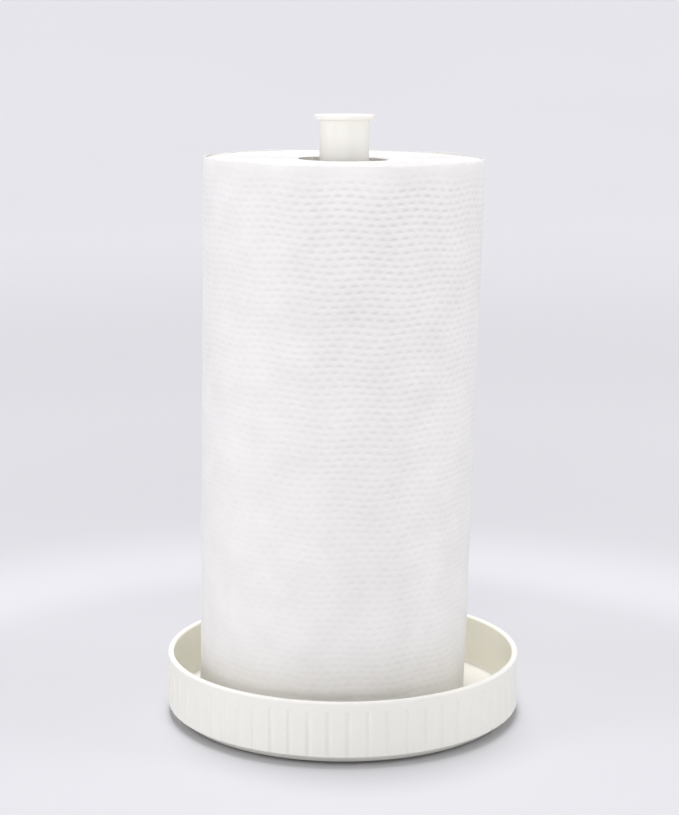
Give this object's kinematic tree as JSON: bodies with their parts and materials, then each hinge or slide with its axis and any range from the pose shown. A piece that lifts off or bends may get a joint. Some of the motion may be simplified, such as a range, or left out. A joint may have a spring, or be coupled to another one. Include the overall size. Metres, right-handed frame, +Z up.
{
  "type": "paper towel holder",
  "caption": "Free-standing paper towel holder: a fluted round white tray with a slim capped post, carrying an embossed paper roll that lifts off and turns.",
  "frame": {"origin": "centre of the tray's outline, on the surface that the holder stands on", "axes": "+Z up along the post, -Y towards the viewer's side, +X the way the paper roll leans"},
  "size_m": [0.181, 0.181, 0.306],
  "materials": {
    "warm_white_plastic": "satin",
    "underside_plastic": "fine matt texture",
    "ballast_steel": "zinc plated",
    "screw_steel": "zinc plated",
    "foot_rubber": "matt",
    "core_board": "pale plain board",
    "towel_paper": "embossed soft paper"
  },
  "bodies": {
    "holder": {"tray": "warm_white_plastic", "base_plate": "underside_plastic", "ballast_plate": "ballast_steel", "non_slip_feet": "foot_rubber", "base_screws": "screw_steel", "post_plug": "underside_plastic", "post_tube": "warm_white_plastic", "post_cap": "warm_white_plastic", "post_washer": "screw_steel", "post_screw": "screw_steel"},
    "roll_core": {"core_tube": "core_board"},
    "roll_paper": {"paper_roll": "towel_paper"}
  },
  "joints": [
    {"name": "roll_lift", "type": "slide", "parent": "holder", "child": "roll_core", "axis": [0, 0, 1], "range_m": [0, 0.305]},
    {"name": "roll_spin", "type": "hinge", "parent": "roll_core", "child": "roll_paper", "pos_m": [-0.0054, 0, 0.00751], "axis": [0.0175, 0, 0.9998], "continuous": true}
  ]
}
